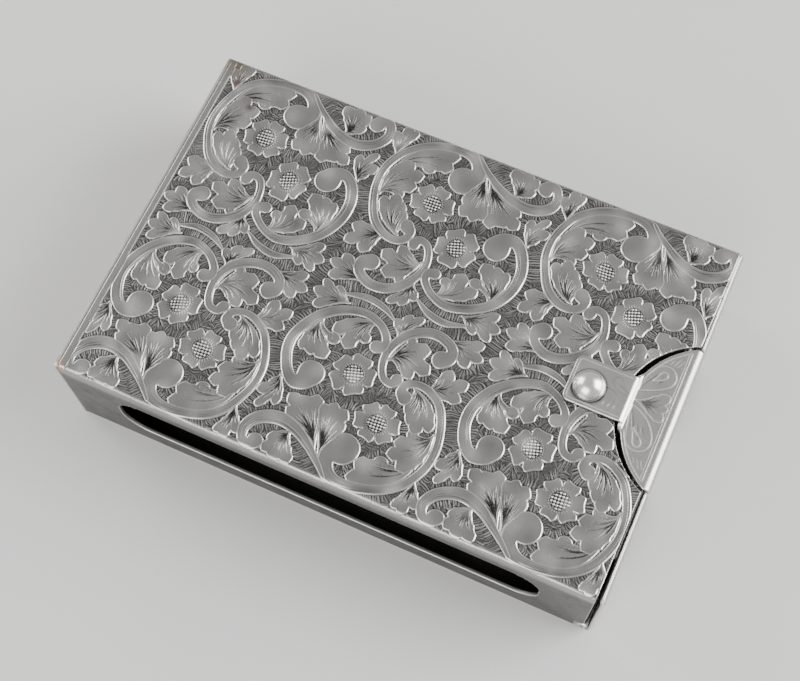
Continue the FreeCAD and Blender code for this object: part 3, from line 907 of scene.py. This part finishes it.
def door_leaf(marks, low):
    """Knuckles, leaf, bend, flap, step and tab in one sheet. u runs up the leaf and along the tab."""
    rise = DOOR_HIGH[2] - TOP
    span = 2 * STEP_BEND + 0.6
    slope = math.degrees(math.acos((span - rise) / span))
    steps = [
        ("bend", BARREL, ROLL),
        ("run", TOP - 2 * BARREL),
        ("bend", BARREL, 90),
        ("run", AXIS_X - STEP_FOOT),
        ("bend", STEP_BEND, -slope),
        ("bend", STEP_BEND + 0.6, slope),
        ("run", STEP_HEAD - DOOR_LOW[0]),
    ]
    lip = math.radians(360 - ROLL)
    start = (AXIS_X + BARREL * math.cos(lip), BARREL + BARREL * math.sin(lip))
    path = Path(start, math.degrees(lip) + 90, 1, steps)
    leaf_start = path.parts[1][0]
    bend_start = path.parts[2][0]
    flap_start = path.parts[3][0]
    leaf_top = leaf_start + TOP - BARREL

    def outline(u, v):
        width = np.abs(v)
        x = AXIS_X - (u - flap_start)
        leaf = box_gap(u, v, (-9, -HALF_WIDTH), (leaf_top, HALF_WIDTH), BEND)
        flap = np.maximum(disc_gap(x, v, (FLAP_CENTRE, 0), FLAP_RADIUS), width - FLAP_HALF)
        tab = box_gap(u, v, (bend_start, -TAB_HALF), (path.length, TAB_HALF), TAB_CORNER)
        body = np.maximum(np.minimum.reduce([leaf, flap, tab]), -u)
        slit = box_gap(u, width, (bend_start, FLAP_HALF), (leaf_top + 1, FLAP_HALF + 0.2))
        gaps = box_gap(u, width, (-9, 5.925), (leaf_start + HINGE_TOP - BARREL, 18.075))
        rivet = disc_gap(u, v, (path.length - (STUD_X - DOOR_LOW[0]), STUD_Y), 0.82)
        return np.maximum.reduce([body, -slit, -gaps, -rivet])

    def engrave(u, v):
        return tuple(sample(mark, low, u - flap_start, v) * (u > flap_start - 2.4) for mark in marks)

    u_ticks = path.ticks(FINE, 0.3, bend_start, path.length)
    side = even(FLAP_HALF + 0.2, HALF_WIDTH, 0.3)
    centre = even(-FLAP_HALF, FLAP_HALF, FINE)
    slit_ticks = [FLAP_HALF + 0.1]
    v_ticks = np.concatenate([-side[::-1], [-slit_ticks[0]], centre, slit_ticks, side])
    return bent_sheet("visual_door_leaf", path, 0.6, u_ticks, v_ticks, outline, engrave, in_xz, inner_dark=0.4)


def turned(name, profile, centre, axis, count=96):
    """Closed lathed mesh. The profile is (radius, height) from one end of the axis to the other."""
    profile = np.array(profile)
    angle = np.linspace(0, 2 * math.pi, count, endpoint=False)
    ring = np.column_stack([np.cos(angle), np.sin(angle)])
    radius = profile[1:-1, 0].repeat(count)
    height = np.concatenate([profile[1:-1, 1].repeat(count), profile[[0, -1], 1]])
    flat = np.vstack([np.tile(ring, (len(profile) - 2, 1)) * radius[:, None], np.zeros((2, 2))])
    places = np.column_stack([flat, height])
    if axis == "y":
        places = places[:, [1, 2, 0]]
    faces = []
    bottom, top = len(places) - 2, len(places) - 1
    for i in range(count):
        j = (i + 1) % count
        faces.append((bottom, j, i))
        faces.append((top, len(places) - 2 - count + i, len(places) - 2 - count + j))
        for row in range(0, (len(profile) - 3) * count, count):
            faces.append((row + i, row + j, row + count + j, row + count + i))
    marks = {"dark": np.zeros(len(places)), "gleam": np.zeros(len(places))}
    return new_mesh(name, (places + centre) * MM, faces, np.ones(len(faces), bool), marks)


def arc(centre, radius, start, stop, count):
    """Points of a circle's arc, angles in degrees."""
    angle = np.radians(np.linspace(start, stop, count))
    return [(centre[0] + radius * math.cos(a), centre[1] + radius * math.sin(a)) for a in angle]


def snap_stud():
    """Domed stud on a low neck, its shank going through the tab to a peened nub."""
    rise, neck, drop = 2.0, 0.12, 0.38
    dome_radius, neck_radius, shank, nub = 2.5, 2.2, 0.8, 0.95
    ball = (dome_radius**2 + rise**2) / (2 * rise)
    sweep = math.degrees(math.asin(dome_radius / ball))
    nub_ball = (nub**2 + drop**2) / (2 * drop)
    nub_sweep = math.degrees(math.asin(nub / nub_ball))
    profile = arc((0, -0.6 - drop + nub_ball), nub_ball, -90, nub_sweep - 90, 8)
    profile += [(shank, -0.6), (shank, 0.0), (neck_radius, 0.0), (neck_radius, neck)]
    profile += [(dome_radius - 0.12, neck), (dome_radius - 0.03, neck + 0.03)]
    profile += arc((0, neck + rise - ball), ball, 90 - sweep + 2, 90, 28)
    return turned("visual_snap_stud", profile, (STUD_X, STUD_Y, DOOR_HIGH[2]), "z")


def hinge_pin():
    """Wire through the knuckles, its ends worn round."""
    low, high = node_box("hinge_pin")
    radius, half = (high[2] - low[2]) / 2, high[1]
    worn = arc((radius - 0.2, half - 0.2), 0.2, 0, 90, 6)
    waves = [(radius - 0.012 * (1 - math.cos(0.9 * y)), y) for y in np.linspace(0, half - 0.4, 60)]
    upper = waves + worn
    profile = [(0, -half)] + [(r, -y) for r, y in reversed(upper[1:])] + upper + [(0, half)]
    return turned("visual_hinge_pin", profile, (AXIS_X, 0, BARREL), "y", 40)


# ================================================================ materials


class Nodes:
    """Shorthand for building one material's node tree."""

    def __init__(self, name):
        self.material = bpy.data.materials.new(name)
        self.material.use_nodes = True
        self.tree = self.material.node_tree
        self.shader = self.tree.nodes["Principled BSDF"]

    def add(self, kind, **settings):
        """A node whose settings are properties, or inputs by name or index."""
        node = self.tree.nodes.new(kind)
        inputs = settings.pop("inputs", {})
        for key, value in settings.items():
            setattr(node, key, value)
        for key, value in inputs.items():
            self.feed(value, node.inputs[key])
        return node

    def feed(self, value, socket):
        if isinstance(value, bpy.types.NodeSocket):
            self.tree.links.new(value, socket)
        else:
            socket.default_value = value

    def mark(self, name):
        return self.add("ShaderNodeAttribute", attribute_name=name).outputs["Fac"]

    def places(self, scale=(1, 1, 1), turn=(0, 0, 0)):
        """Places in millimetres, stretched and turned."""
        here = self.add("ShaderNodeTexCoord").outputs["Object"]
        scale = tuple(1000 * s for s in scale)
        return self.add("ShaderNodeMapping", inputs={"Vector": here, "Scale": scale, "Rotation": turn}).outputs[0]

    def noise(self, places, scale, detail=3.0, roughness=0.55):
        inputs = {"Vector": places, "Scale": scale, "Detail": detail, "Roughness": roughness}
        return self.add("ShaderNodeTexNoise", inputs=inputs).outputs["Fac"]

    def span(self, value, low, high, to_low=0.0, to_high=1.0):
        inputs = {0: value, 1: low, 2: high, 3: to_low, 4: to_high}
        return self.add("ShaderNodeMapRange", inputs=inputs).outputs[0]

    def math(self, operation, a, b=0.0):
        return self.add("ShaderNodeMath", operation=operation, inputs={0: a, 1: b}).outputs[0]

    def mix(self, share, a, b):
        node = self.add("ShaderNodeMix", data_type="RGBA", inputs={0: share, 6: a, 7: b})
        return node.outputs[2]

    def near(self, places, point, inner, outer):
        """1 within a distance of a point, falling to 0 further out."""
        node = self.add("ShaderNodeVectorMath", operation="DISTANCE", inputs={0: places, 1: point})
        return self.span(node.outputs["Value"], inner, outer, 1.0, 0.0)

    def scratches(self, turn, length, amount):
        """Fine straight scratches along one direction, from stretched noise."""
        places = self.places((1.0 / length, 1.0, 1.0), turn)
        lines = self.noise(places, 6.0, 2.0, 0.7)
        return self.span(lines, 0.64, 0.72, 0.0, amount)

    def finish(self, colour, roughness, height, strength):
        self.feed(colour, self.shader.inputs["Base Color"])
        self.feed(roughness, self.shader.inputs["Roughness"])
        self.feed(1.0, self.shader.inputs["Metallic"])
        bump = self.add("ShaderNodeBump", inputs={"Strength": strength, "Distance": 0.00003, "Height": height})
        self.feed(bump.outputs[0], self.shader.inputs["Normal"])
        return self.material


def grey(value, warmth=0.0):
    return (value * (1 + warmth), value, value * (1 - warmth), 1.0)


def metal(name, silver, roughness, tarnish=0.25, warmth=0.02, scratch=0.3, stains_and_sheen=()):
    """Worn silver-coloured sheet: oxidised cuts with painted shade, painted highlight on edges and lines, tarnish,
    grain and scratches.

    Each entry, a stain or a patch of painted sheen, is (point, inner reach, outer reach, colour), in millimetres.
    """
    nodes = Nodes(name)
    places = nodes.places()
    cloud = nodes.span(nodes.noise(places, 0.07, 4.0), 0.35, 0.7)
    blotch = nodes.span(nodes.noise(places, 0.35, 5.0, 0.6), 0.42, 0.72)
    grain = nodes.noise(places, 5.0, 6.0, 0.7)
    scratches = nodes.math("MAXIMUM", nodes.scratches((0, 0, 0.5), 14, scratch), nodes.scratches((0, 0, 2.2), 9, scratch))
    colour = nodes.mix(nodes.math("MULTIPLY", cloud, tarnish), grey(silver, warmth), grey(silver * 0.72, 2 * warmth))
    colour = nodes.mix(nodes.math("MULTIPLY", blotch, tarnish), colour, grey(silver * 0.6, 3 * warmth))
    colour = nodes.mix(nodes.math("MULTIPLY", scratches, 0.6), colour, grey(min(silver * 1.25, 0.95), warmth))
    speck = nodes.span(grain, 0.35, 0.65, 0.75, 1.1)
    # the dark mark: oxidised hollows, plus painted shade where the marks put it
    oxide_and_shade = nodes.math("MULTIPLY", nodes.mark("dark"), speck)
    colour = nodes.mix(oxide_and_shade, colour, grey(0.012, 2 * warmth))
    # painted highlight: gleam mixes the colour towards near white
    colour = nodes.mix(nodes.mark("gleam"), colour, grey(0.97, warmth))
    # stains, and a patch of painted sheen
    for point, inner, outer, tint in stains_and_sheen:
        patch = nodes.math("MULTIPLY", nodes.near(places, point, inner, outer), nodes.span(blotch, 0, 1, 0.45, 1))
        colour = nodes.mix(patch, colour, tint)
    rough = nodes.span(grain, 0.3, 0.7, roughness * 0.8, roughness * 1.2)
    rough = nodes.math("ADD", rough, nodes.math("MULTIPLY", blotch, 0.12))
    rough = nodes.math("ADD", rough, nodes.math("MULTIPLY", nodes.mark("dark"), 0.2))
    height = nodes.math("ADD", grain, nodes.math("MULTIPLY", scratches, -0.8))
    return nodes.finish(colour, rough, height, 0.35)


SOLDER_STAINS_AND_SHEEN = (
    ((-43.5, 29.5, 20.5), 0.5, 5.0, (0.20, 0.17, 0.11, 1)),
    ((-41.5, 26.0, 21.0), 0.0, 1.2, (0.10, 0.06, 0.05, 1)),
    ((-37.5, 22.5, 21.0), 0.0, 1.0, (0.10, 0.06, 0.05, 1)),
    ((-44.5, -29.5, 20.5), 0.3, 1.8, (0.60, 0.38, 0.20, 1)),
    # painted sheen: a lighter patch on the top plate where a highlight falls
    ((-38.0, 12.0, 21.0), 0.0, 6.0, (0.46, 0.445, 0.44, 1)),
)


def make_materials():
    return {
        "engraved": metal("engraved_sheet", 0.4, 0.27, tarnish=0.35, warmth=0.015, stains_and_sheen=SOLDER_STAINS_AND_SHEEN),
        "door": metal("door_sheet", 0.53, 0.26, tarnish=0.2, warmth=0.015),
        "base": metal("base_sheet", 0.4, 0.36, tarnish=0.4, warmth=0.03),
        "end": metal("end_sheet", 0.42, 0.3, tarnish=0.4, warmth=0.05, stains_and_sheen=SOLDER_STAINS_AND_SHEEN),
        "dome": metal("polished_stud", 0.82, 0.24, tarnish=0.06, warmth=0.02, scratch=0.1),
        "wire": metal("pin_wire", 0.5, 0.3, tarnish=0.5, warmth=0.06),
    }


# ================================================================ the object

PATTERN = engraved_plate(2 * 45, 2 * 31)
PATTERN_MARKS = plate_marks(PATTERN)
MATERIALS = make_materials()

PIECES = (
    (case_shell(PATTERN_MARKS, PATTERN.low), "case_shell", "case", "engraved_sheet", "engraved"),
    (base_plate(PATTERN_MARKS, PATTERN.low), "base_plate", "case", "base_sheet", "base"),
    (end_wall(), "end_wall", "case", "end_sheet", "end"),
    (door_leaf(flap_marks(), (-3.0, -12.5)), "door_leaf", "door", "door_sheet", "door"),
    (snap_stud(), "snap_stud", "door", "polished_stud", "dome"),
    (hinge_pin(), "hinge_pin", "case", "pin_wire", "wire"),
)
for piece, node, body, slot, material in PIECES:
    piece.data.materials.append(MATERIALS[material])
    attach(piece, body)
    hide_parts(node)


# ================================================================ floor, light and camera


def make_floor():
    """Plain pale floor, very slightly mottled. From below it is clear, so that the underside shows."""
    mesh = bpy.data.meshes.new("floor")
    edge, under = 3.0, -0.1 * MM
    corners = [(-edge, -edge, under), (edge, -edge, under), (edge, edge, under), (-edge, edge, under)]
    mesh.from_pydata(corners, [], [(0, 1, 2, 3)])
    floor = bpy.data.objects.new("floor", mesh)
    bpy.context.scene.collection.objects.link(floor)
    nodes = Nodes("floor")
    mottle = nodes.noise(nodes.places(), 0.02, 4.0)
    nodes.feed(nodes.mix(mottle, grey(0.56, 0.01), grey(0.62, 0.01)), nodes.shader.inputs["Base Color"])
    nodes.feed(nodes.span(mottle, 0, 1, 0.7, 0.85), nodes.shader.inputs["Roughness"])
    below = nodes.add("ShaderNodeNewGeometry").outputs["Backfacing"]
    close = nodes.math("LESS_THAN", nodes.add("ShaderNodeLightPath").outputs["Ray Length"], MM)
    clear = nodes.add("ShaderNodeBsdfTransparent").outputs[0]
    shares = {0: nodes.math("MAXIMUM", below, close), 1: nodes.shader.outputs[0], 2: clear}
    mixed = nodes.add("ShaderNodeMixShader", inputs=shares).outputs[0]
    nodes.feed(mixed, nodes.tree.nodes["Material Output"].inputs["Surface"])
    mesh.materials.append(nodes.material)


def make_sky(overhead, horizon):
    """Soft surroundings, darker overhead than at the sides."""
    world = bpy.data.worlds.new("studio")
    bpy.context.scene.world = world
    world.use_nodes = True
    tree = world.node_tree
    direction = tree.nodes.new("ShaderNodeTexCoord").outputs["Generated"]
    split = tree.nodes.new("ShaderNodeSeparateXYZ")
    tree.links.new(direction, split.inputs[0])
    ramp = tree.nodes.new("ShaderNodeMapRange")
    tree.links.new(split.outputs[2], ramp.inputs[0])
    ramp.inputs[3].default_value = horizon
    ramp.inputs[4].default_value = overhead
    tree.links.new(ramp.outputs[0], tree.nodes["Background"].inputs["Strength"])
    tree.nodes["Background"].inputs["Color"].default_value = (1.0, 0.99, 0.97, 1.0)


def make_light(name, place, size, power):
    """Square soft box that faces the middle of the case."""
    light = bpy.data.lights.new(name, "AREA")
    light.size = size
    light.energy = power
    lamp = bpy.data.objects.new(name, light)
    lamp.location = place
    aim = Vector((0, 0, 0.01)) - Vector(place)
    lamp.rotation_euler = aim.to_track_quat("-Z", "Y").to_euler()
    bpy.context.scene.collection.objects.link(lamp)


def make_camera():
    """Camera over the near side of the case, turned so that the case lies across the picture."""
    camera = bpy.data.cameras.new("camera")
    camera.sensor_width = 36
    camera.lens = 64.2
    camera.clip_start = 0.01
    holder = bpy.data.objects.new("camera", camera)
    back = -Vector((-0.171, 0.328, -0.929)).normalized()
    right = Vector((0.911, 0.411, -0.022))
    right = (right - back * right.dot(back)).normalized()
    up = back.cross(right)
    turn = Matrix((right, up, back)).transposed().to_4x4()
    holder.matrix_world = Matrix.Translation(Vector((39.0, -76.3, 223.05)) * MM) @ turn
    bpy.context.scene.collection.objects.link(holder)
    bpy.context.scene.camera = holder


make_floor()
make_sky(overhead=0.62, horizon=0.7)
make_light("left_box", (-0.8, 0.1, 0.42), 0.6, 6.0)
make_light("right_box", (0.68, 0.3, 0.42), 0.7, 14.0)
make_light("near_box", (-0.1, -0.7, 0.45), 0.6, 5.0)
make_camera()
